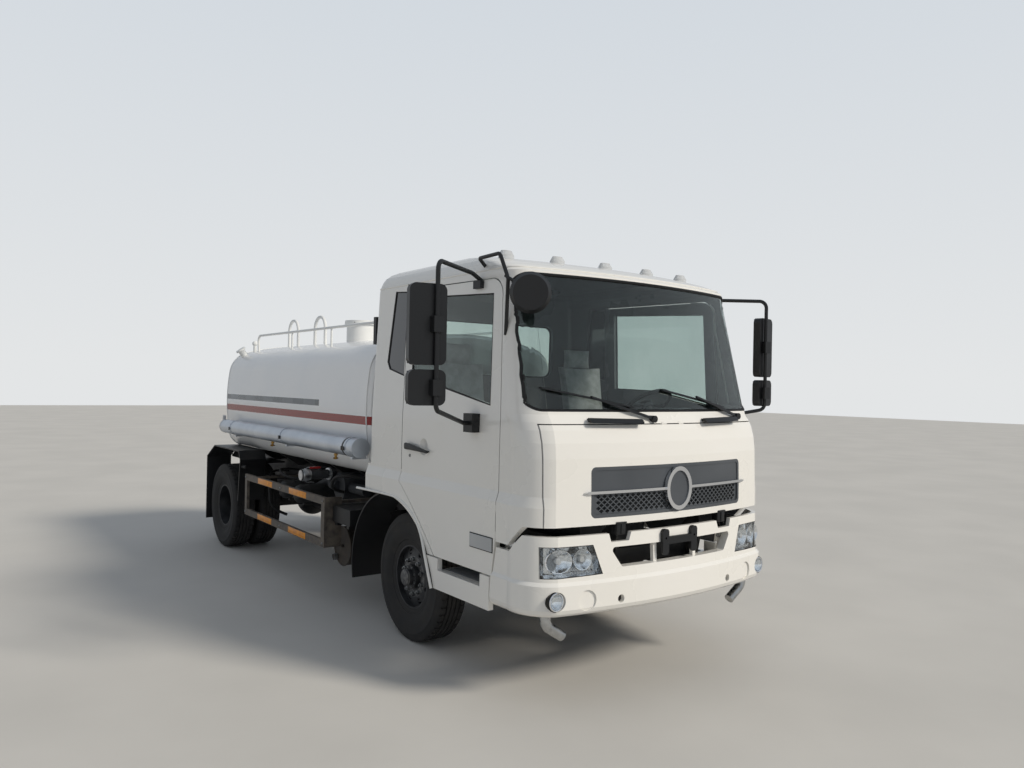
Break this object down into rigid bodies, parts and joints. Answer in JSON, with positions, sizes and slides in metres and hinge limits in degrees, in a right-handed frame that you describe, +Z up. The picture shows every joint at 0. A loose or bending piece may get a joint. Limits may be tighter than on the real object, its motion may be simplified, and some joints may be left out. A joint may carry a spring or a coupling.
{
  "type": "water tank truck with tilting cab",
  "caption": "White water tank truck with a tilting cab, opening doors, steered front wheels, hose tubes and side guards.",
  "frame": {"origin": "on the ground under the middle of the truck's bounding box", "axes": "-Y forward, +Z up, +X to the truck's left"},
  "size_m": [3.6426, 7.76, 3.032],
  "materials": {
    "cab_paint": "gloss paint",
    "tank_paint": "gloss paint",
    "black_paint": "satin paint",
    "black_plastic": "satin",
    "grey_plastic": "matte",
    "rubber": "matte",
    "glass": "clear",
    "lamp": "clear",
    "dark_glass": "gloss",
    "chrome": "mirror",
    "red_lamp": "clear",
    "galvanised": "satin",
    "raw_metal": "satin",
    "cast_iron": "rough",
    "trim": "matte"
  },
  "bodies": {
    "chassis": {"frame_rails": "black_paint", "leaf_springs": "black_paint", "front_axle": "black_paint", "rear_axle": "black_paint", "engine_and_shaft": "cast_iron", "front_bumper": "cab_paint", "front_lamps": "lamp", "plate_bracket": "black_paint", "step_panels": "cab_paint", "mudguards": "black_paint", "side_guards": "black_paint", "muffler": "raw_metal", "battery_box": "black_plastic", "fuel_tank": "galvanised", "water_pump": "cast_iron", "air_intake": "black_plastic", "tank_shell": "tank_paint", "tank_mounts": "black_paint", "tank_fittings": "tank_paint", "hose_tubes": "galvanised", "rear_underrun": "black_paint", "tail_lamps": "red_lamp", "spray_nozzles": "galvanised"},
    "cab": {"cab_shell": "cab_paint", "cab_fenders": "cab_paint", "cab_glass": "glass", "quarter_glass": "dark_glass", "cab_floor": "black_paint", "seats": "trim", "dashboard": "grey_plastic", "marker_lamps": "lamp", "cab_fittings": "black_plastic"},
    "front_flap": {"front_flap": "cab_paint", "grille": "grey_plastic", "grille_bar": "chrome"},
    "door_left": {"door_left": "cab_paint", "door_glass_left": "glass", "mirror_left": "black_plastic"},
    "door_right": {"door_right": "cab_paint", "door_glass_right": "glass", "mirror_right": "black_plastic"},
    "knuckle_left": {"knuckle_left": "cast_iron"},
    "knuckle_right": {"knuckle_right": "cast_iron"},
    "tie_rod": {"tie_rod": "black_paint"},
    "wheel_front_left": {"front_tyre_left": "rubber", "front_rim_left": "raw_metal"},
    "wheel_front_right": {"front_tyre_right": "rubber", "front_rim_right": "raw_metal"},
    "wheel_rear_left": {"rear_tyres_left": "rubber", "rear_rims_left": "raw_metal"},
    "wheel_rear_right": {"rear_tyres_right": "rubber", "rear_rims_right": "raw_metal"},
    "tank_lid": {"tank_lid": "tank_paint"}
  },
  "joints": [
    {"name": "cab_tilt", "type": "hinge", "parent": "chassis", "child": "cab", "pos_m": [0, -3.7, 1.215], "axis": [1, 0, 0], "range_deg": [0, 45]},
    {"name": "flap_open", "type": "hinge", "parent": "cab", "child": "front_flap", "pos_m": [0, -3.777, 1.8185], "axis": [-1, 0, 0], "range_deg": [0, 70]},
    {"name": "door_left_open", "type": "hinge", "parent": "cab", "child": "door_left", "pos_m": [1.155, -3.2875, 1.2], "axis": [0, 0, -1], "range_deg": [0, 65]},
    {"name": "door_right_open", "type": "hinge", "parent": "cab", "child": "door_right", "pos_m": [-1.155, -3.2875, 1.2], "axis": [0, 0, 1], "range_deg": [0, 65]},
    {"name": "steer_left", "type": "hinge", "parent": "chassis", "child": "knuckle_left", "pos_m": [0.765, -1.95, 0.509], "axis": [0, 0, 1], "range_deg": [-35, 35]},
    {"name": "steer_right", "type": "hinge", "parent": "chassis", "child": "knuckle_right", "pos_m": [-0.765, -1.95, 0.509], "axis": [0, 0, 1], "range_deg": [-35, 35]},
    {"name": "tie_rod_turn", "type": "hinge", "parent": "knuckle_left", "child": "tie_rod", "pos_m": [0.765, -1.76, 0.445], "axis": [0, 0, 1], "range_deg": [-35, 35]},
    {"name": "spin_front_left", "type": "hinge", "parent": "knuckle_left", "child": "wheel_front_left", "pos_m": [0.93, -1.95, 0.509], "axis": [1, 0, 0], "continuous": true},
    {"name": "spin_front_right", "type": "hinge", "parent": "knuckle_right", "child": "wheel_front_right", "pos_m": [-0.93, -1.95, 0.509], "axis": [1, 0, 0], "continuous": true},
    {"name": "spin_rear_left", "type": "hinge", "parent": "chassis", "child": "wheel_rear_left", "pos_m": [0.9, 2.55, 0.509], "axis": [1, 0, 0], "continuous": true},
    {"name": "spin_rear_right", "type": "hinge", "parent": "chassis", "child": "wheel_rear_right", "pos_m": [-0.9, 2.55, 0.509], "axis": [1, 0, 0], "continuous": true},
    {"name": "lid_open", "type": "hinge", "parent": "chassis", "child": "tank_lid", "pos_m": [0, 1.418, 2.796], "axis": [-1, 0, 0], "range_deg": [0, 100]}
  ],
  "couplings": [
    {"joint": "steer_right", "follows": "steer_left", "ratio": 1},
    {"joint": "tie_rod_turn", "follows": "steer_left", "ratio": -1}
  ]
}
